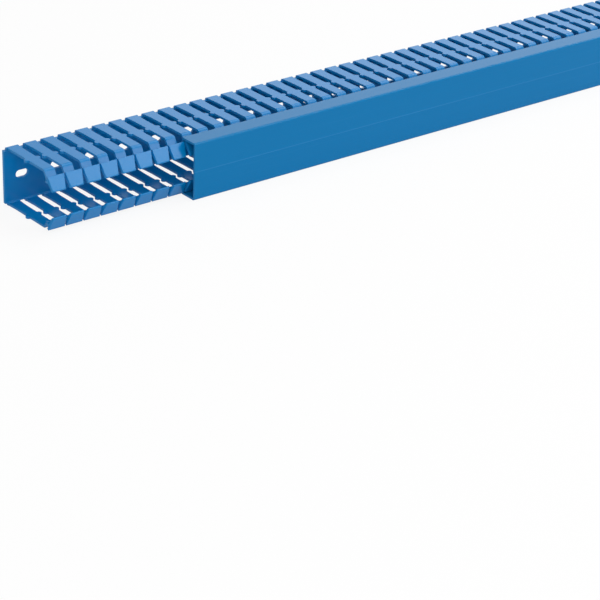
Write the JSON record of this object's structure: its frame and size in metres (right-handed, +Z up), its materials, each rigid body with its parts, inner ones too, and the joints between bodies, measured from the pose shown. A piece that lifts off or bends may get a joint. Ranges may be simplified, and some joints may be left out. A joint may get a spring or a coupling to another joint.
{
  "type": "slotted wiring duct with cover",
  "caption": "Slotted wiring duct of U section with barbed finger walls, long fixing slots in its back plate and a clip-on cover that slides along it.",
  "frame": {"origin": "middle of the back plate's outer face", "axes": "+X along the duct, +Y out of the back plate towards the mounting panel, +Z up from the slotted wall it lies on to the other one"},
  "size_m": [1.1, 0.06, 0.038],
  "materials": {
    "base_pvc": "satin blue rigid PVC",
    "cover_pvc": "satin blue rigid PVC"
  },
  "bodies": {
    "base": {"duct_base": "base_pvc"},
    "cover": {"cover": "cover_pvc"}
  },
  "joints": [
    {"name": "cover_slide", "type": "slide", "parent": "base", "child": "cover", "axis": [1, 0, 0], "range_m": [-0.1, 0.4]}
  ]
}
